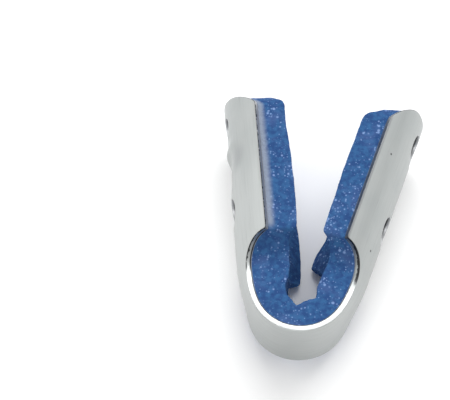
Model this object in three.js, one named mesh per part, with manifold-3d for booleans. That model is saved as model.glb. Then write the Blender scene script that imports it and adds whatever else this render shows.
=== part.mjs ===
import * as THREE from 'three';
import Module from 'manifold-3d';

const wasm = await Module();
wasm.setup();

// A fold-over finger splint: an hourglass strip of soft aluminium bent into a V, lined with foam.
// It lies on its side. X runs from leaf to leaf, Y from the bend to the open end, Z across the strip.
// A station is a distance along the outer face from the bottom of the bend, negative on the left leaf.
// Across is a distance along the metal's outer face from the strip's middle line.

// Driving dimensions of the metal, in millimetres and degrees
const metalThickness = 1.1;
const leafHalfWidth = 12.5;
const leafSideLength = 28.6;
const tipRise = 5.6;
const troughRadius = 13.0;
const troughRunOut = 12.5;
const neckHalfWidth = 6.3;
const neckHalfLength = 17.9;
const bendRadius = 9.6;
const bendHalfAngle = 55.1;
const shoulderRadius = 31.4;
const leafLean = 11.4;
const holeDiameter = 6.5;
const lowerHoleInset = 9.0;
const upperHoleInset = 0.3;

// Driving dimensions of the foam, and the glue line between it and the metal
// The taper is the share by which the foam is thicker at the edge that it lies on, and thinner above.
const foamThickness = 5.6;
const foamTaper = 0.08;
const glueGap = 0.3;

// How finely the curved faces are divided
const bendSteps = 9;
const shoulderSteps = 4;
const notchSteps = 5;
const leafSteps = 12;
const acrossSteps = 12;
const holeSides = 24;

// Depth of the foam round the neck, where it is squeezed into a crease at the bottom of the bend.
// place is a share of the neck's half length, depth a share of the foam's thickness.
const foamSqueeze = [
  { place: -2.30, depth: 1.06 },
  { place: -1.35, depth: 1.04 },
  { place: -0.92, depth: 1.32 },
  { place: -0.74, depth: 1.25 },
  { place: -0.62, depth: 1.10 },
  { place: -0.47, depth: 1.02 },
  { place: -0.23, depth: 0.98 },
  { place: -0.02, depth: 0.83 },
  { place: 0.16, depth: 0.97 },
  { place: 0.39, depth: 0.97 },
  { place: 0.54, depth: 0.86 },
  { place: 0.68, depth: 1.06 },
  { place: 0.95, depth: 1.09 },
  { place: 1.40, depth: 0.90 },
  { place: 2.30, depth: 0.97 },
];

// Dents pressed into the left leaf, and a spot raised by the lower punch, with a negative depth.
// along and length are shares of the leaf's side, width a share of its half width,
// and depth a share of the metal's thickness.
const dents = [
  { along: 0.37, length: 0.05, width: 0.20, depth: -0.20 },
  { along: 0.58, length: 0.13, width: 0.42, depth: 0.42 },
  { along: 0.67, length: 0.05, width: 0.34, depth: 0.24 },
  { along: 0.87, length: 0.07, width: 0.30, depth: 0.28 },
];

// Stations worked out from the driving dimensions
const bendTurn = THREE.MathUtils.degToRad(bendHalfAngle);
const leafTurn = THREE.MathUtils.degToRad(90 - leafLean);
const bendLength = bendRadius * bendTurn;
const shoulderLength = shoulderRadius * (leafTurn - bendTurn);
const notchRadius = leafHalfWidth - neckHalfWidth;
const leafStart = neckHalfLength + notchRadius;

// Middle line of the outer face, on one side of the bend: a tight arc, an open arc and a straight leaf
function middleLine(station) {
  const distance = Math.abs(station);
  const side = Math.sign(station);
  const tight = Math.min(distance, bendLength) / bendRadius;
  const open = THREE.MathUtils.clamp(distance - bendLength, 0, shoulderLength) / shoulderRadius;
  const straight = Math.max(distance - bendLength - shoulderLength, 0);
  const turn = tight + open;
  const x = bendRadius * Math.sin(tight)
    + shoulderRadius * (Math.sin(turn) - Math.sin(tight))
    + straight * Math.cos(turn);
  const y = bendRadius * (1 - Math.cos(tight))
    + shoulderRadius * (Math.cos(tight) - Math.cos(turn))
    + straight * Math.sin(turn);
  const point = new THREE.Vector3(side * x, y, 0);
  const outward = new THREE.Vector3(side * Math.sin(turn), -Math.cos(turn), 0);
  return { point, outward };
}

// The strip is flat round the tight bend and curls up into the leaf's trough past it
function troughCurvature(station) {
  const share = (Math.abs(station) - bendLength) / troughRunOut;
  return THREE.MathUtils.smoothstep(share, 0, 1) / troughRadius;
}

function dentDepth(station, across) {
  if (station > 0) {
    return 0;
  }
  return dents.reduce((depth, dent) => {
    const along = (-station - leafStart) / leafSideLength - dent.along;
    const reach = (along / dent.length) ** 2 + (across / leafHalfWidth / dent.width) ** 2;
    return depth + dent.depth * metalThickness * Math.exp(-reach);
  }, 0);
}

// A point at a depth below the undented outer face
function troughPoint(station, across, depth) {
  const { point, outward } = middleLine(station);
  const curvature = troughCurvature(station);
  const turn = across * curvature;
  const curled = turn !== 0;
  const width = curled ? Math.sin(turn) / curvature : across;
  const rise = curled ? (1 - Math.cos(turn)) / curvature : 0;
  point.addScaledVector(outward, -rise - depth * Math.cos(turn));
  point.z = width - depth * Math.sin(turn);
  return point;
}

function dentedPoint(station, across, depth) {
  return troughPoint(station, across, depth + dentDepth(station, across));
}

function foamDepth(station, across) {
  const ends = [foamSqueeze[0].place, foamSqueeze[foamSqueeze.length - 1].place];
  const place = THREE.MathUtils.clamp(station / neckHalfLength, ...ends);
  const next = Math.max(foamSqueeze.findIndex((row) => row.place >= place), 1);
  const before = foamSqueeze[next - 1];
  const after = foamSqueeze[next];
  const share = (place - before.place) / (after.place - before.place);
  const taper = 1 - (foamTaper * across) / leafHalfWidth;
  return foamThickness * taper * THREE.MathUtils.lerp(before.depth, after.depth, share);
}

// Height of the rounded tip over the line between the leaf's two outer corners
function tipHeight(across) {
  const radius = (leafHalfWidth ** 2 + tipRise ** 2) / (2 * tipRise);
  return Math.sqrt(radius ** 2 - across ** 2) - radius + tipRise;
}

// Rows of the hourglass outline for one leaf and its half of the neck, from the bend to the tip.
// Each row gives the station and the half width at a share of the way across.
function halfOutline() {
  const rows = [];
  for (let i = 0; i < bendSteps; i += 1) {
    const station = (bendLength * i) / bendSteps;
    rows.push(() => ({ station, halfWidth: neckHalfWidth }));
  }
  for (let i = 0; i < shoulderSteps; i += 1) {
    const station = bendLength + ((neckHalfLength - bendLength) * i) / shoulderSteps;
    rows.push(() => ({ station, halfWidth: neckHalfWidth }));
  }
  for (let i = 0; i < notchSteps; i += 1) {
    const angle = ((Math.PI / 2) * i) / notchSteps;
    const station = neckHalfLength + notchRadius * Math.sin(angle);
    const halfWidth = leafHalfWidth - notchRadius * Math.cos(angle);
    rows.push(() => ({ station, halfWidth }));
  }
  for (let i = 0; i <= leafSteps; i += 1) {
    const share = i / leafSteps;
    rows.push((across) => {
      const length = leafSideLength + tipHeight(across * leafHalfWidth);
      return { station: leafStart + share * length, halfWidth: leafHalfWidth };
    });
  }
  return rows;
}

// The whole outline, as station and across at every row and column
function outlineGrid() {
  const half = halfOutline();
  const sides = [-1, 1].map((side) => half.map((row) => ({ side, row })));
  const rows = [...sides[0].reverse(), ...sides[1].slice(1)];
  return rows.map(({ side, row }) => {
    const cells = [];
    for (let j = 0; j <= acrossSteps; j += 1) {
      const across = (2 * j) / acrossSteps - 1;
      const { station, halfWidth } = row(across);
      cells.push({ station: side * station, across: across * halfWidth });
    }
    return cells;
  });
}

// A closed body between two faces that share the outline's rows and columns
function sheetGeometry(outerFace, innerFace) {
  const grid = outlineGrid();
  const rowCount = grid.length;
  const columnCount = acrossSteps + 1;
  const cells = grid.flat();
  const outerPoints = cells.map((cell) => outerFace(cell.station, cell.across));
  const innerPoints = cells.map((cell) => innerFace(cell.station, cell.across));
  const outer = (i, j) => i * columnCount + j;
  const layer = rowCount * columnCount;
  const faces = [];
  for (let i = 0; i < rowCount - 1; i += 1) {
    for (let j = 0; j < columnCount - 1; j += 1) {
      const [a, b, c, d] = [outer(i, j), outer(i + 1, j), outer(i + 1, j + 1), outer(i, j + 1)];
      faces.push(a, b, c, a, c, d);
      faces.push(layer + a, layer + c, layer + b, layer + a, layer + d, layer + c);
    }
  }
  const rim = [];
  for (let i = 0; i < rowCount - 1; i += 1) {
    rim.push(outer(i, 0));
  }
  for (let j = 0; j < columnCount - 1; j += 1) {
    rim.push(outer(rowCount - 1, j));
  }
  for (let i = rowCount - 1; i > 0; i -= 1) {
    rim.push(outer(i, columnCount - 1));
  }
  for (let j = columnCount - 1; j > 0; j -= 1) {
    rim.push(outer(0, j));
  }
  rim.forEach((from, k) => {
    const to = rim[(k + 1) % rim.length];
    faces.push(to, from, layer + from, to, layer + from, layer + to);
  });
  const geometry = new THREE.BufferGeometry().setFromPoints([...outerPoints, ...innerPoints]);
  geometry.setIndex(faces);
  return geometry;
}

// Booleans work on closed meshes whose corners are shared
function toSolid(geometry) {
  const vertProperties = new Float32Array(geometry.attributes.position.array);
  const triVerts = new Uint32Array(geometry.index.array);
  return new wasm.Manifold(new wasm.Mesh({ numProp: 3, vertProperties, triVerts }));
}

function toGeometry(solid) {
  const mesh = solid.getMesh();
  const geometry = new THREE.BufferGeometry();
  geometry.setAttribute('position', new THREE.BufferAttribute(mesh.vertProperties, 3));
  geometry.setIndex(new THREE.BufferAttribute(mesh.triVerts, 1));
  return geometry;
}

// A round punch through the metal at a station, square to the leaf
function holePunch(station) {
  const { point, outward } = middleLine(station);
  const radius = holeDiameter / 2;
  const reach = metalThickness + troughRadius - Math.sqrt(troughRadius ** 2 - radius ** 2);
  const across = new THREE.Vector3(0, 0, 1);
  const along = new THREE.Vector3().crossVectors(across, outward);
  const corners = [];
  const faces = [];
  [-2 * reach, reach].forEach((height) => {
    for (let k = 0; k < holeSides; k += 1) {
      const angle = (2 * Math.PI * k) / holeSides;
      const corner = point.clone().addScaledVector(outward, height);
      corner.addScaledVector(along, radius * Math.cos(angle));
      corner.addScaledVector(across, radius * Math.sin(angle));
      corners.push(corner);
    }
  });
  for (let k = 0; k < holeSides; k += 1) {
    const next = (k + 1) % holeSides;
    faces.push(k, next, holeSides + next, k, holeSides + next, holeSides + k);
  }
  for (let k = 1; k < holeSides - 1; k += 1) {
    faces.push(0, k + 1, k);
    faces.push(holeSides, holeSides + k, holeSides + k + 1);
  }
  const geometry = new THREE.BufferGeometry().setFromPoints(corners);
  geometry.setIndex(faces);
  return toSolid(geometry);
}

// The stamped metal, with two holes on the middle line of each leaf
function aluminiumShell() {
  const sheet = sheetGeometry(
    (station, across) => dentedPoint(station, across, 0),
    (station, across) => dentedPoint(station, across, metalThickness),
  );
  let solid = toSolid(sheet);
  const lowerHole = leafStart + lowerHoleInset;
  const upperHole = leafStart + leafSideLength - upperHoleInset;
  for (const side of [-1, 1]) {
    for (const station of [lowerHole, upperHole]) {
      solid = solid.subtract(holePunch(side * station));
    }
  }
  const material = new THREE.MeshStandardMaterial({ color: 0xb8bcbd, roughness: 0.38, metalness: 1.0 });
  const mesh = new THREE.Mesh(toGeometry(solid), material);
  mesh.name = 'aluminium_shell';
  return mesh;
}

// The foam pad: its outer face follows the metal, its inner face is set off square to the leaf
function foamLiner() {
  const depth = metalThickness + glueGap;
  const geometry = sheetGeometry(
    (station, across) => dentedPoint(station, across, depth),
    (station, across) => {
      const { outward } = middleLine(station);
      return troughPoint(station, across, depth).addScaledVector(outward, -foamDepth(station, across));
    },
  );
  const material = new THREE.MeshStandardMaterial({ color: 0x38649e, roughness: 0.95, metalness: 0.0 });
  const mesh = new THREE.Mesh(geometry, material);
  mesh.name = 'foam_liner';
  return mesh;
}

// The splint lies on the rims of its leaves, with its middle over the origin
const splint = new THREE.Group();
splint.add(aluminiumShell(), foamLiner());
const box = new THREE.Box3().setFromObject(splint);
const middle = box.getCenter(new THREE.Vector3());
splint.position.set(-middle.x, -middle.y, -box.min.z);
splint.updateMatrixWorld(true);

export default splint;
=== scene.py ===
from math import cos, pi, radians, sin, sqrt

import bpy
import numpy as np
from mathutils import Matrix, Vector, noise
from mathutils.geometry import delaunay_2d_cdt


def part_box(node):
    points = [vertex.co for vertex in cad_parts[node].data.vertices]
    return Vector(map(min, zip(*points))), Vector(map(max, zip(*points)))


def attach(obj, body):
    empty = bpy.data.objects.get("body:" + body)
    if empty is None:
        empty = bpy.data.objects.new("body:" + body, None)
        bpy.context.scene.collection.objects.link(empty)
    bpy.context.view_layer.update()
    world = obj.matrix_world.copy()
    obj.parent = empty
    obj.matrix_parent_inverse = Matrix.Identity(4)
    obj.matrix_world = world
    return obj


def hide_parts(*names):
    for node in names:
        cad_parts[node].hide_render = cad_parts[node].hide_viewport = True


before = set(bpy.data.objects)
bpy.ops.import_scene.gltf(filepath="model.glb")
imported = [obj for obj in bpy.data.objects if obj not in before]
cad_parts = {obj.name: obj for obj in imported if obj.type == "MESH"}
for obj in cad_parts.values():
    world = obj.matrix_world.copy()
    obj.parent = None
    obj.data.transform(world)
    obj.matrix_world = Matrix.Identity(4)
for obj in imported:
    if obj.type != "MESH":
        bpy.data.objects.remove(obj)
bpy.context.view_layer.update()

# ALUMINIUM SHELL
# One hourglass blank of soft mill-finish aluminium, punched with four vent holes, pressed into two
# troughs and folded round a rod at the neck. Its cut edges are slightly rolled over by the die.

# The pieces are worked out in millimetres. A place on the flat blank is its station along the
# strip, from the middle of the bend, the distance across from the middle line, and the depth.
mm = 1000
metal_thickness = 1.1
leaf_half_width = 12.5
leaf_side = 28.6
tip_rise = 5.6
neck_half_width = 6.3
neck_half_length = 17.9
notch_radius = leaf_half_width - neck_half_width
leaf_start = neck_half_length + notch_radius
leaf_end = leaf_start + leaf_side
hole_radius = 3.25
lower_hole_setback = 9.0
upper_hole_setback = 0.3
hole_stations = (leaf_start + lower_hole_setback, leaf_end - upper_hole_setback)

# The fold: a tight bend, then a wide shoulder, then straight leaves that lean apart by the degrees
# of the leaf's lean on either side
bend_radius = 9.6
bend_turn = radians(55.1)
shoulder_radius = 31.4
leaf_lean = 11.4
leaf_turn = radians(90 - leaf_lean)
bend_length = bend_radius * bend_turn
shoulder_length = shoulder_radius * (leaf_turn - bend_turn)
trough_radius = 13.0
trough_run_out = 12.5
# The neck isn't troughed, and this keeps its curvature from being nought
least_curvature = 1e-7

shell_low, shell_high = (Vector(corner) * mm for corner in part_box("aluminium_shell"))
fold_bottom = np.array(
    [(shell_low.x + shell_high.x) / 2, shell_low.y, (shell_low.z + shell_high.z) / 2]
)


def smooth_step(share):
    share = np.clip(share, 0, 1)
    return share * share * (3 - 2 * share)


def middle_line(station):
    """Point and outward direction of the outer face on the strip's middle line."""
    distance = np.abs(station)
    side = np.sign(station)
    tight = np.minimum(distance, bend_length) / bend_radius
    opening = np.clip(distance - bend_length, 0, shoulder_length) / shoulder_radius
    straight = np.maximum(distance - bend_length - shoulder_length, 0)
    turn = tight + opening
    x = bend_radius * np.sin(tight) + shoulder_radius * (np.sin(turn) - np.sin(tight))
    y = bend_radius * (1 - np.cos(tight)) + shoulder_radius * (np.cos(tight) - np.cos(turn))
    point = np.stack([side * (x + straight * np.cos(turn)), y + straight * np.sin(turn), 0 * x], -1)
    return point, np.stack([side * np.sin(turn), -np.cos(turn), 0 * x], -1)


# Knocks in the left leaf: the place along the leaf and the reach along it, as shares of its side,
# the reach across as a share of its half width, and the depth in thicknesses of the metal. Those
# with a depth below nought bulge outwards.
knocks = (
    (0.38, 0.04, 0.20, -0.34),
    (0.58, 0.10, 0.42, 0.34),
    (0.70, 0.07, 0.45, 0.42),
    (0.79, 0.035, 0.34, -0.30),
    (0.86, 0.05, 0.30, 0.28),
)


def press_depth(station, across):
    """How far the left leaf is knocked inwards."""
    along = (-station - leaf_start) / leaf_side
    share = across / leaf_half_width
    depth = 0 * along
    for place, length, width, amount in knocks:
        knock = np.exp(-(((along - place) / length) ** 2) - (share / width) ** 2)
        depth = depth + amount * metal_thickness * knock
    return np.where(station < 0, depth, 0)


def trough_point(station, across, depth):
    """A point below the undented outer face of the folded strip, in the frame's axes."""
    point, outward = middle_line(station)
    run_out = (np.abs(station) - bend_length) / trough_run_out
    curvature = np.maximum(smooth_step(run_out) / trough_radius, least_curvature)
    turn = across * curvature
    rise = (1 - np.cos(turn)) / curvature + depth * np.cos(turn)
    point = point - outward * rise[..., None]
    point[..., 2] = np.sin(turn) / curvature - depth * np.sin(turn)
    return point + fold_bottom


def sheet_point(station, across, depth):
    return trough_point(station, across, depth + press_depth(station, across))


def even_loop(loop, spacing):
    """The closed loop again, with its points evenly spaced."""
    closed = np.vstack([loop, loop[:1]])
    steps = np.hypot(*np.diff(closed, axis=0).T)
    length = np.concatenate([[0], np.cumsum(steps)])
    count = int(round(length[-1] / spacing))
    wanted = np.arange(count) * length[-1] / count
    return np.stack([np.interp(wanted, length, closed[:, k]) for k in (0, 1)], -1)


def softened(loop, reach):
    """The closed loop with its corners rounded over that many points."""
    offsets = np.arange(-3 * reach, 3 * reach + 1)
    weights = np.exp(-0.5 * (offsets / reach) ** 2)
    return sum(w * np.roll(loop, -k, axis=0) for k, w in zip(offsets, weights)) / weights.sum()


# The outline is drawn in these steps and then rounded. The rounding of the tips takes over from
# that of the notches within the blend, which starts at the tip zone, measured back from the leaf's
# outer corners.
outline_step = 0.05
notch_arc_points = 60
tip_arc_points = 160
tip_zone = 8
tip_blend = 4


def blank_outline(spacing, inset=0.0, corner=6, tip_corner=9):
    """Outline of the hourglass blank, anticlockwise in station and across. Its corners are rounded
    over the given numbers of outline steps."""
    width = leaf_half_width - inset
    neck = neck_half_width - inset
    radius = width - neck
    notch = np.radians(np.linspace(0, 90, notch_arc_points))
    notch_stations = neck_half_length + inset + radius * np.sin(notch)
    low = [(0.0, -neck)]
    low += list(zip(notch_stations, -width + radius * np.cos(notch)))
    low += [(leaf_end - inset, -width)]
    tip_radius = (width**2 + tip_rise**2) / (2 * tip_rise)
    tip_middle = leaf_end - inset + tip_rise - tip_radius
    tip_angle = np.linspace(-1, 1, tip_arc_points) * np.arcsin(width / tip_radius)
    tip = list(zip(tip_middle + tip_radius * np.cos(tip_angle), tip_radius * np.sin(tip_angle)))
    right = low + tip[1:-1] + [(s, -w) for s, w in reversed(low)]
    left = [(-s, -w) for s, w in right]
    loop = even_loop(np.array(right[:-1] + left[:-1]), outline_step)
    crisp = softened(loop, corner)
    round_tip = softened(loop, tip_corner)
    tip_share = smooth_step((np.abs(loop[:, :1]) - leaf_end + tip_zone) / tip_blend)
    return even_loop(crisp * (1 - tip_share) + round_tip * tip_share, spacing)


# The right tip came out fuller, most of all towards its upper corner, and the left tip flatter
tip_fullness = 0.35
corner_fullness = 0.95
corner_place = 7.5
corner_reach = 4
tip_flatness = 0.75
tip_change_start = 1
tip_change_length = 3


def tip_change(station, across):
    """How far a place near the tips has moved along the strip, towards the right tip."""
    near_tip = smooth_step((np.abs(station) - leaf_end + tip_change_start) / tip_change_length)
    corner_bulge = np.exp(-(((across - corner_place) / corner_reach) ** 2))
    fuller = tip_fullness + corner_fullness * corner_bulge
    flatter = tip_flatness * (1 - (across / leaf_half_width) ** 2)
    return near_tip * np.where(station > 0, fuller, flatter)


def loop_normals(loop):
    """Directions out of the material, with the material on the loop's left."""
    tangent = np.roll(loop, -1, axis=0) - np.roll(loop, 1, axis=0)
    tangent /= np.hypot(*tangent.T)[:, None]
    return np.stack([tangent[:, 1], -tangent[:, 0]], -1)


def within(points, loops):
    """Which points lie inside the first closed loop and outside the holes in it, the others."""
    result = np.zeros(len(points), bool)
    for loop in loops:
        for (ax, ay), (bx, by) in zip(loop, np.roll(loop, -1, axis=0)):
            if ay == by:
                continue
            crosses = (points[:, 1] > ay) != (points[:, 1] > by)
            edge = ax + (points[:, 1] - ay) * (bx - ax) / (by - ay)
            result ^= crosses & (points[:, 0] < edge)
    return result


# The net that fills a face keeps this share of its spacing clear of the rim. It is measured in
# batches, to save memory.
rim_clearance = 0.6
net_batch = 2000
same_point = 1e-6


def fill(loops, spacing):
    """Triangles that fill the first loop and leave out the others, on an even net of points."""
    rim = np.vstack(loops)
    low, high = rim.min(0), rim.max(0)
    rows = np.arange(low[1], high[1], spacing * sqrt(3) / 2)
    net = [
        (x + (spacing / 2) * (k % 2), y)
        for k, y in enumerate(rows)
        for x in np.arange(low[0], high[0], spacing)
    ]
    net = np.array(net)
    net = net[within(net, loops)]
    near = np.zeros(len(net), bool)
    for start in range(0, len(net), net_batch):
        part = net[start : start + net_batch]
        gap = np.hypot(part[:, :1] - rim[:, 0], part[:, 1:] - rim[:, 1])
        near[start : start + net_batch] = gap.min(1) < rim_clearance * spacing
    net = net[~near]
    edges = []
    first = 0
    for loop in loops:
        count = len(loop)
        edges += [(first + k, first + (k + 1) % count) for k in range(count)]
        first += count
    points = [Vector(p) for p in np.vstack([rim, net])]
    flat, _, faces, source, _, _ = delaunay_2d_cdt(points, edges, [], 0, same_point)
    originals = np.array([members[0] for members in source])
    flat = np.array([tuple(p) for p in flat])
    faces = np.array([list(face) for face in faces])
    return flat, originals, faces[within(flat[faces].mean(1), loops)]


def slab_mesh(name, loops, profile, spacing_out, spacing_in, place):
    """A closed slab: an outer face, an inner face, and a rim with its profile round every loop.
    The profile's rows are (inset, share of the depth), and place turns (station, across, share)
    into points. Gives the object, and its points on the flat blank and in place."""
    flat_parts = []
    faces = []
    count = 0
    ring_starts = [[] for _ in loops]
    for inset, share in profile:
        for loop, starts in zip(loops, ring_starts):
            starts.append(count)
            ring = loop - loop_normals(loop) * inset
            flat_parts.append(np.column_stack([ring, np.full(len(ring), share)]))
            count += len(ring)
    for loop, starts in zip(loops, ring_starts):
        k = np.arange(len(loop))
        after = (k + 1) % len(loop)
        for upper, lower in zip(starts, starts[1:]):
            quads = np.stack([upper + k, lower + k, lower + after, upper + after], -1)
            faces += quads.tolist()
    for row, spacing, flip in ((0, spacing_out, False), (len(profile) - 1, spacing_in, True)):
        inset, share = profile[row]
        rings = [loop - loop_normals(loop) * inset for loop in loops]
        flat, originals, triangles = fill(rings, spacing)
        ring_ids = np.concatenate([s[row] + np.arange(len(r)) for s, r in zip(ring_starts, rings)])
        on_rim = originals < len(ring_ids)
        fresh = np.flatnonzero(~on_rim)
        lookup = np.empty(len(flat), int)
        lookup[on_rim] = ring_ids[originals[on_rim]]
        lookup[fresh] = count + np.arange(len(fresh))
        flat_parts.append(np.column_stack([flat[fresh], np.full(len(fresh), share)]))
        count += len(fresh)
        triangles = lookup[triangles]
        faces += (triangles[:, ::-1] if flip else triangles).tolist()
    flat = np.vstack(flat_parts)
    points = place(flat[:, 0], flat[:, 1], flat[:, 2])
    mesh = bpy.data.meshes.new(name)
    mesh.from_pydata((points / mm).tolist(), [], faces)
    mesh.update()
    mesh.shade_smooth()
    obj = bpy.data.objects.new(name, mesh)
    bpy.context.collection.objects.link(obj)
    attribute = mesh.attributes.new("blank", "FLOAT_VECTOR", "POINT")
    attribute.data.foreach_set("vector", flat.astype(np.float32).ravel())
    return obj, flat, points


def hole_loop(station, radius, count):
    """Clockwise, so that the material is on its left."""
    angle = -np.arange(count) * 2 * pi / count
    return np.stack([station + radius * np.cos(angle), radius * np.sin(angle)], -1)


# The rim's profile is a small quarter round at either face with a flat wall between them
edge_roll = 0.13
roll_steps = 4
wall_share = 0.25
hole_points = 84
shell_rim_spacing = 0.3
shell_profile = []
for step in range(roll_steps + 1):
    angle = step * pi / (2 * roll_steps)
    inset, sunk = edge_roll * (1 - sin(angle)), edge_roll * (1 - cos(angle))
    shell_profile.append((inset, sunk / metal_thickness))
shell_profile.append((0.0, wall_share))
shell_profile += [(inset, 1 - share) for inset, share in reversed(shell_profile)]
shell_loops = [blank_outline(shell_rim_spacing)]
for side in (-1, 1):
    shell_loops += [hole_loop(side * s, hole_radius, hole_points) for s in hole_stations]


def shell_place(station, across, share):
    return sheet_point(station + tip_change(station, across), across, share * metal_thickness)


shell, _, _ = slab_mesh(
    "shell", shell_loops, shell_profile, spacing_out=0.4, spacing_in=0.45, place=shell_place
)


class Finish:
    """A procedural material, with short ways to make its nodes."""

    def __init__(self, name):
        self.material = bpy.data.materials.new(name)
        self.material.use_nodes = True
        self.tree = self.material.node_tree
        self.surface = self.tree.nodes["Principled BSDF"].inputs

    def put(self, value, socket):
        """Gives a socket a number, a colour, a place or another socket's value."""
        if isinstance(value, bpy.types.NodeSocket):
            self.tree.links.new(value, socket)
        elif socket.type == "RGBA":
            socket.default_value = (*value, 1)
        else:
            socket.default_value = value

    def add(self, kind, *first_values, **values):
        """A node with its first inputs in order, and its settings and other inputs by name."""
        node = self.tree.nodes.new("ShaderNode" + kind)
        for name, value in values.items():
            if hasattr(node, name):
                setattr(node, name, value)
            else:
                self.put(value, node.inputs[name.replace("_", " ")])
        for value, socket in zip(first_values, node.inputs):
            self.put(value, socket)
        return node.outputs

    def blank_place(self):
        """The place on the flat blank, and its station, across and share of the depth."""
        place = self.add("Attribute", attribute_name="blank")["Vector"]
        return (place, *self.add("SeparateXYZ", place))

    def combine(self, operation, *values):
        return self.add("Math", *values, operation=operation)["Value"]

    def all_of(self, share, *shares):
        """The product of the shares."""
        for other in shares:
            share = self.combine("MULTIPLY", share, other)
        return share

    def distance(self, place, point):
        return self.add("VectorMath", place, point, operation="DISTANCE")["Value"]

    def ramp(self, value, low, high, start=0.0, end=1.0):
        """A number that goes smoothly from start to end as value goes from low to high."""
        limits = {"From_Min": low, "From_Max": high, "To_Min": start, "To_Max": end}
        return self.add("MapRange", value, interpolation_type="SMOOTHSTEP", **limits)["Result"]

    def fade(self, value, low, high):
        """A share that goes from one to nought as value goes from low to high."""
        return self.ramp(value, low, high, 1.0, 0.0)

    def blend(self, share, first, second):
        """The first colour with that share of the second; each is a socket or a triple."""
        node = self.tree.nodes.new("ShaderNodeMix")
        node.data_type = "RGBA"
        for place, value in ((0, share), (6, first), (7, second)):
            self.put(value, node.inputs[place])
        return node.outputs[2]


metal = Finish("mill_finish_aluminium")
blank, station, across, depth = metal.blank_place()
from_middle = metal.combine("ABSOLUTE", across)
from_bend = metal.combine("ABSOLUTE", station)

# Rolling lines run along the strip: the noise is stretched along the station. From here on a pair
# of limits says where a change starts and where it is full.
noise_limits = (0.3, 0.7)
rolling_stretch = (0.06, 2.6, 0.5)
streak_place = metal.add("Mapping", Vector=blank, Scale=rolling_stretch)["Vector"]
streaks = metal.add("TexNoise", Vector=streak_place, Scale=1.6, Detail=4.0, Roughness=0.6)["Fac"]
dark_mill_tone = (0.36, 0.38, 0.378)
light_mill_tone = (0.385, 0.402, 0.398)
clouds = metal.add("TexNoise", Vector=blank, Scale=0.14, Detail=2.0)["Fac"]
metal_tone = metal.blend(metal.ramp(clouds, *noise_limits), dark_mill_tone, light_mill_tone)

# Painted sheen: the neck, its bent edge included, and the near half of the left leaf are made
# brighter to stand in for light reflected there
painted_sheen_tone = (0.43, 0.448, 0.443)
sheen_start = (-46.0, -30.0)
sheen_end = (8.0, 22.0)
painted_sheen = metal.all_of(metal.ramp(station, *sheen_start), metal.fade(station, *sheen_end))
metal_tone = metal.blend(painted_sheen, metal_tone, painted_sheen_tone)

# The cut edges of the leaves are a lighter grey wall with a dark band along the outer corner:
# partly a real torn burr, partly a painted dark reflection of the rolled corner
bright_edge_tone = (0.42, 0.43, 0.44)
burr_and_dark_reflection_tone = (0.035, 0.035, 0.037)
face_skin = 0.03
leaf_rim = (11.4, 12.2)
edge_waver_height = 0.9
burr_and_dark_limits = (0.58, 0.74)
wall = metal.all_of(metal.ramp(depth, 0.0, face_skin), metal.fade(depth, 1.0 - face_skin, 1.0))
leaf_edge = metal.all_of(wall, metal.ramp(from_middle, *leaf_rim))
burr_and_dark_waver = metal.add("TexNoise", Vector=blank, Scale=1.3, Detail=3.0)["Fac"]
burr_and_dark_depth = metal.combine("MULTIPLY_ADD", burr_and_dark_waver, edge_waver_height, depth)
# Dark along the outer corner: partly torn burr, partly painted dark reflection
burr_and_painted_dark = metal.fade(burr_and_dark_depth, *burr_and_dark_limits)
edge_tone = metal.blend(burr_and_painted_dark, bright_edge_tone, burr_and_dark_reflection_tone)
metal_tone = metal.blend(leaf_edge, metal_tone, edge_tone)

# The notch walls are painted dark too, standing in for dark reflections, with the same wavy border.
# In the right notch the painted dark runs half way through the wall, and in the left one painted
# shade also lies where the wall meets the foam.
notch_start = (16.0, 18.5)
notch_inner_rim = (4.5, 5.5)
right_side = (-1.0, 1.0)
right_notch_dark_limits = (0.82, 1.0)
left_notch_start = (-17.5, -16.5)
left_notch_shade_depth = (0.62, 0.80)
notch_edge = metal.all_of(
    wall,
    metal.ramp(from_bend, *notch_start),
    metal.fade(from_middle, *leaf_rim),
    metal.ramp(from_middle, *notch_inner_rim),
)
right_notch_dark_span = metal.fade(burr_and_dark_depth, *right_notch_dark_limits)
right_notch_painted_dark = metal.all_of(right_notch_dark_span, metal.ramp(station, *right_side), notch_edge)
at_foam = metal.ramp(depth, *left_notch_shade_depth)
left_notch_painted_shade = metal.all_of(at_foam, metal.fade(station, *left_notch_start), notch_edge)
# Painted dark reflection and painted shade on the notch walls
for share, painted_notch_tone in (
    (metal.all_of(notch_edge, burr_and_painted_dark), (0.04, 0.042, 0.044)),
    (right_notch_painted_dark, (0.045, 0.047, 0.05)),
    (left_notch_painted_shade, (0.05, 0.052, 0.055)),
):
    metal_tone = metal.blend(share, metal_tone, painted_notch_tone)

# Painted dark reflection along the rolled rim of the right leaf's outer face
rim_dark_reflection_tone = (0.15, 0.16, 0.17)
dark_reflection_rim = (11.9, 12.45)
dark_reflection_share = 0.75
leaves_start = (22.0, 24.0)
right_leaf = (-2.0, 2.0)
on_leaves = metal.ramp(from_bend, *leaves_start)
rim_painted_dark = metal.ramp(from_middle, *dark_reflection_rim, 0.0, dark_reflection_share)
rim_painted_dark = metal.all_of(rim_painted_dark, on_leaves, metal.ramp(station, *right_leaf))
metal_tone = metal.blend(rim_painted_dark, metal_tone, rim_dark_reflection_tone)

# The sheared walls of the punched holes get a painted highlight, as if lit from above, and are
# darker at their foot: dirt with painted shade where they meet the foam
lit_hole_wall_tone = (0.47, 0.48, 0.49)
hole_dirt_and_shade_tone = (0.03, 0.03, 0.032)
beside_hole = (3.4, 4.0)
foot_depth = (0.30, 0.62)
hole_dirt_and_shade_share = 0.9
hole_wall = metal.all_of(wall, metal.fade(from_middle, *beside_hole), on_leaves)
metal_tone = metal.blend(hole_wall, metal_tone, lit_hole_wall_tone)
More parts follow.
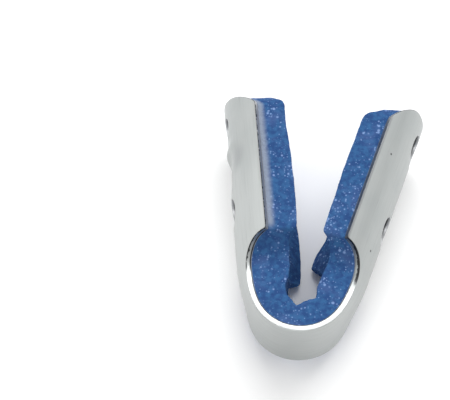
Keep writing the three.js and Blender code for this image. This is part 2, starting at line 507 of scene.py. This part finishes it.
# Dirt and painted shade at the foot of the hole walls
foot_dirt_and_shade = metal.all_of(hole_wall, metal.ramp(depth, *foot_depth, 0.0, hole_dirt_and_shade_share))
metal_tone = metal.blend(foot_dirt_and_shade, metal_tone, hole_dirt_and_shade_tone)

# Painted shade on the flank of a dent in the left leaf, lengthwise rub marks, and two small pits in
# the right leaf
dent_shade_place = (-43.0, 5.8, 0.0)
dent_shade_reach = (0.5, 4.0)
dent_shade_share = 0.6
dent_shade_tone = (0.25, 0.265, 0.27)
dent_painted_shade = metal.ramp(metal.distance(blank, dent_shade_place), *dent_shade_reach, dent_shade_share, 0.0)
metal_tone = metal.blend(dent_painted_shade, metal_tone, dent_shade_tone)
rub_streaks = (0.60, 0.70)
rub_share = 0.30
rub_tone = (0.26, 0.27, 0.275)
rubs = metal.ramp(streaks, *rub_streaks, 0.0, rub_share)
metal_tone = metal.blend(rubs, metal_tone, rub_tone)
pits = (((25.64, 5.3, 0.0), 0.34), ((45.64, 9.45, 0.0), 0.30))
pit_bottom = 0.4
pit_share = 0.9
pit_tone = (0.03, 0.03, 0.03)
for pit_place, pit_radius in pits:
    to_pit = metal.distance(blank, pit_place)
    pit = metal.ramp(to_pit, pit_bottom * pit_radius, pit_radius, pit_share, 0.0)
    metal_tone = metal.blend(pit, metal_tone, pit_tone)

roughness_limits = (0.34, 0.46)
ripple = metal.add("Bump", Strength=0.10, Distance=0.0001, Height=streaks)["Normal"]
metal.put(1.0, metal.surface["Metallic"])
metal.put(metal_tone, metal.surface["Base Color"])
metal.put(metal.ramp(streaks, *noise_limits, *roughness_limits), metal.surface["Roughness"])
metal.put(ripple, metal.surface["Normal"])
shell.data.materials.append(metal.material)
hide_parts("aluminium_shell")
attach(shell, "root")

# FOAM LINER
# One pad of blue open-cell foam cut to the same hourglass and stuck inside the metal. Folding
# squeezes it into a crease at the bend. Its cut edges are a little ragged, and its glue side has a
# pale film.

foam_thickness = 5.6
foam_taper = 0.08
foam_inset = 0.1
foam_corner = 14
foam_rim_spacing = 0.35
glue_gap = 0.09
# Depth of the foam along the strip: the station as a share of the neck's half length, and the depth
# as a share of the foam's thickness
foam_squeeze = (
    (-2.30, 1.06),
    (-1.38, 1.04),
    (-1.20, 1.38),
    (-0.92, 1.42),
    (-0.74, 1.31),
    (-0.62, 1.10),
    (-0.47, 1.02),
    (-0.23, 0.98),
    (-0.02, 0.83),
    (0.16, 0.97),
    (0.39, 0.97),
    (0.54, 0.86),
    (0.68, 1.06),
    (0.95, 1.09),
    (1.40, 0.90),
    (2.30, 0.97),
)
squeeze_places, squeeze_shares = np.array(foam_squeeze).T

# The foam bulges a little into the punched holes
bulge_height = 0.3
bulge_reach = 2.6
# Changes of the lower edge grow from nothing at the middle line, as fast as the rate says
lower_edge_rate = 1.3
# At the lower corners of the notches the foam is dragged towards the tips, on the left by these
# lengths at these shares of the depth
left_drag_shares = (0, 0.35, 0.7, 1)
left_drags = (0, 4.4, 5.4, 2.7)
right_drag = 1.3
drag_reach = 6.5
# The lower edge is squashed thicker or thinner: station, reach along the strip, and added depth
lower_edge_changes = ((25.5, 6, 1.3), (-30, 6, 0.6), (-16, 3.5, -1.0))
# The pad is a little thicker along the left leaf, and thins out towards the right tip
left_pad_place = -34
left_pad_reach = 10
left_pad_depth = 0.5
thin_tip_start = 50.5
thin_tip_length = 5
thin_tip_depth = 1.4
# Its free face keeps back by this share of what the right tip gained
free_tip_slip = 0.9


def foam_depth(station, across, lower):
    squeeze = np.interp(station / neck_half_length, squeeze_places, squeeze_shares)
    depth = foam_thickness * squeeze * (1 - foam_taper * across / leaf_half_width)
    for place, reach, amount in lower_edge_changes:
        depth += amount * lower * np.exp(-(((station - place) / reach) ** 2))
    depth += left_pad_depth * np.exp(-(((station - left_pad_place) / left_pad_reach) ** 4))
    return depth - thin_tip_depth * smooth_step((station - thin_tip_start) / thin_tip_length)


def foam_place(station, across, share):
    """Foam between the metal and its free face, whose lower corners drag on the finger's side."""
    back = metal_thickness + glue_gap
    lower = smooth_step(-lower_edge_rate * across / leaf_half_width)
    bulge = 0 * station
    for hole in hole_stations:
        reach = np.hypot(np.abs(station) - hole, across) / bulge_reach
        bulge = bulge + bulge_height * np.exp(-(reach**4))
    slip = np.where(station > 0, 1 - free_tip_slip * share, 1)
    station = station + tip_change(station, across) * slip
    point = sheet_point(station, across, back - bulge)
    left_drag = np.interp(share, left_drag_shares, left_drags)
    drag = np.where(station < 0, left_drag, right_drag * share)
    near_notch = np.exp(-(((np.abs(station) - leaf_start) / drag_reach) ** 2))
    dragged = station + drag * lower * near_notch
    front = trough_point(dragged, across, np.full_like(station, back))
    front = front - middle_line(dragged)[1] * foam_depth(station, across, lower)[:, None]
    return point + (front - point) * share[:, None]


# The profile: a sharp edge at the glue side, an even wall, and a round edge at the free face
edge_round = 0.45
round_steps = 5
wall_limits = (0.08, 0.82)
wall_rows = 14
foam_profile = [(0.12, 0.0), (0.03, 0.01), (0.0, 0.03)]
foam_profile += [(0.0, share) for share in np.linspace(*wall_limits, wall_rows)]
for step in range(1, round_steps + 1):
    angle = step * pi / (2 * round_steps)
    inset, short = edge_round * (1 - cos(angle)), edge_round / foam_thickness * (1 - sin(angle))
    foam_profile.append((inset, 1 - short))
foam_loops = [blank_outline(foam_rim_spacing, foam_inset, foam_corner, foam_corner)]
foam, foam_flat, foam_points = slab_mesh(
    "foam", foam_loops, foam_profile, spacing_out=0.45, spacing_in=0.35, place=foam_place
)

# Open cells make the faces bumpy, and the knife leaves the cut edges a little wavy. Each layer has
# its height and how many bumps go to a millimetre. The film on the glue side is smooth.
bump_layers = ((0.15, 0.28), (0.06, 1.25))
smooth_share = 0.1
foam_mesh = foam.data
normals = np.empty(len(foam_mesh.vertices) * 3)
foam_mesh.vertices.foreach_get("normal", normals)
bumps = [
    sum(height * noise.noise(Vector(point) * rate) for height, rate in bump_layers)
    for point in foam_points
]
bumps = np.array(bumps) * smooth_step(foam_flat[:, 2] / smooth_share)
foam_points = foam_points + normals.reshape(-1, 3) * bumps[:, None]
foam_mesh.vertices.foreach_set("co", (foam_points / mm).ravel())
foam_mesh.update()

cells = Finish("blue_open_cell_foam")
_, station, across, depth = cells.blank_place()
in_foam = cells.add("TexCoord")["Object"]

# The blue is mottled finely and hazy in broader patches
dark_blue_tone = (0.020, 0.060, 0.180)
mid_blue_tone = (0.031, 0.103, 0.248)
haze_tone = (0.060, 0.108, 0.262)
mottle_limits = (0.35, 0.68)
haze_limits = (0.45, 0.75)
haze_share = 0.55
mottle = cells.add("TexNoise", Vector=in_foam, Scale=1000.0, Detail=3.0)["Fac"]
foam_tone = cells.blend(cells.ramp(mottle, *mottle_limits), dark_blue_tone, mid_blue_tone)
haze = cells.add("TexNoise", Vector=in_foam, Scale=260.0, Detail=2.0)["Fac"]
foam_tone = cells.blend(cells.ramp(haze, *haze_limits, 0.0, haze_share), foam_tone, haze_tone)

# Broken cell walls catch the light as pale specks, in some places larger than in others. Each layer
# has its cells to a metre, its smallest and largest speck as shares of a cell, and its tone.
speck_layers = (
    (1050.0, 0.12, 0.32, (0.19, 0.29, 0.53)),
    (1800.0, 0.10, 0.34, (0.18, 0.29, 0.52)),
)
speck_haze = (0.32, 0.62)
speck_edge = (-0.14, 0.12)
speck_share = 0.85
for scale, smallest, largest, speck_tone in speck_layers:
    specks = cells.add("TexVoronoi", Vector=in_foam, Scale=scale)
    chance = cells.add("SeparateColor", specks["Color"])["Red"]
    reach = cells.all_of(cells.ramp(haze, *speck_haze, smallest, largest), chance)
    beyond = cells.combine("SUBTRACT", specks["Distance"], reach)
    speck = cells.ramp(beyond, *speck_edge, speck_share, 0.0)
    foam_tone = cells.blend(speck, foam_tone, speck_tone)

# The glue side has a pale film, with painted shade on it inside the holes. The foam's cut edge on
# the left leaf is paler towards the glue side, with a wavering border.
pale_edge_tone = (0.25, 0.285, 0.355)
pale_edge_depth = 0.19
pale_edge_waver = 0.16
pale_edge_limits = (0.25, 1.1)
pale_edge_share = 0.85
left_leaf = (-26.0, -24.0)
film_tone = (0.34, 0.36, 0.40)
hole_painted_shade_tone = (0.06, 0.09, 0.16)
hole_shade_reach = (3.5, 5.0)
film_depth = 0.02
pale_edge_end = cells.combine("MULTIPLY_ADD", mottle, pale_edge_waver, pale_edge_depth)
pale_edge = cells.ramp(cells.combine("DIVIDE", depth, pale_edge_end), *pale_edge_limits, pale_edge_share, 0.0)
pale_edge = cells.all_of(pale_edge, cells.fade(station, *left_leaf))
foam_tone = cells.blend(pale_edge, foam_tone, pale_edge_tone)
# Painted shade on the film where it shows through the holes
in_hole = cells.fade(cells.combine("ABSOLUTE", across), *hole_shade_reach)
film_and_hole_shade = cells.blend(in_hole, film_tone, hole_painted_shade_tone)
foam_tone = cells.blend(cells.fade(depth, 0.0, film_depth), foam_tone, film_and_hole_shade)
pores = cells.add("TexVoronoi", Vector=in_foam, Scale=2300.0)["Distance"]
pore_bump = cells.add("Bump", Strength=0.5, Distance=0.0002, Height=pores)["Normal"]
cells.put(foam_tone, cells.surface["Base Color"])
cells.put(0.95, cells.surface["Roughness"])
cells.put(0.15, cells.surface["Specular IOR Level"])
cells.put(pore_bump, cells.surface["Normal"])
foam.data.materials.append(cells.material)
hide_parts("foam_liner")
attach(foam, "root")

# FLOOR
# A seamless sheet of white paper laid flat under the splint, wide enough to fill the view and the
# reflections in the metal.

floor_half = 1.5
paper = Finish("white_paper")
paper.put((0.96, 0.96, 0.96), paper.surface["Base Color"])
paper.put(0.9, paper.surface["Roughness"])
paper.put(0.1, paper.surface["Specular IOR Level"])
corners = [(x * floor_half, y * floor_half, 0) for x, y in ((-1, -1), (1, -1), (1, 1), (-1, 1))]
floor_mesh = bpy.data.meshes.new("floor")
floor_mesh.from_pydata(corners, [], [(0, 1, 2, 3)])
floor_mesh.materials.append(paper.material)
floor = bpy.data.objects.new("floor", floor_mesh)
bpy.context.collection.objects.link(floor)

# LIGHTS
# Soft boxes as in a product booth, all turned to the splint: a strong one overhead and behind, a
# weaker one in front, and a faint one low down on either side. White walls light the rest.

booth_glow = 0.64
# Name, place, width and height in metres, and power in watts
soft_boxes = (
    ("box_behind", (0.04, 0.55, 0.64), 1.0, 0.5, 7.0),
    ("box_left", (-0.72, 0.22, 0.24), 0.6, 0.4, 0.85),
    ("box_right", (0.74, 0.27, 0.30), 0.6, 0.4, 0.7),
    ("box_front", (-0.1, -0.6, 0.45), 0.8, 0.4, 2.0),
)
for name, place, width, height, power in soft_boxes:
    lamp = bpy.data.lights.new(name, "AREA")
    lamp.shape = "RECTANGLE"
    lamp.size = width
    lamp.size_y = height
    lamp.energy = power
    soft_box = bpy.data.objects.new(name, lamp)
    soft_box.location = place
    soft_box.rotation_euler = Vector(place).to_track_quat("Z", "Y").to_euler()
    bpy.context.collection.objects.link(soft_box)
world = bpy.data.worlds.new("booth")
world.use_nodes = True
world.node_tree.nodes["Background"].inputs["Color"].default_value = (1, 1, 1, 1)
world.node_tree.nodes["Background"].inputs["Strength"].default_value = booth_glow
bpy.context.scene.world = world
bpy.context.scene.view_settings.view_transform = "Standard"

# CAMERA
# A long lens that looks down on the splint from the bend's side, a little from the right, with the
# open end of the V away from it. The camera is tilted by less than a degree.

azimuth, elevation, roll = radians(6.85), radians(60.13), radians(0.79)
camera_distance = 0.460
camera_right = -0.01294
camera_up = 0.02769
back = Vector((sin(azimuth) * cos(elevation), -cos(azimuth) * cos(elevation), sin(elevation)))
right = Vector((cos(azimuth), sin(azimuth), 0))
up = back.cross(right)
right, up = right * cos(roll) + up * sin(roll), up * cos(roll) - right * sin(roll)
camera = bpy.data.cameras.new("camera")
camera.sensor_width = 36.0
camera.lens = 193.4
camera.clip_start = 0.01
view = bpy.data.objects.new("camera", camera)
place = Vector(fold_bottom / mm) + right * camera_right + up * camera_up + back * camera_distance
view.matrix_world = Matrix.Translation(place) @ Matrix((right, up, back)).transposed().to_4x4()
bpy.context.collection.objects.link(view)
bpy.context.scene.camera = view
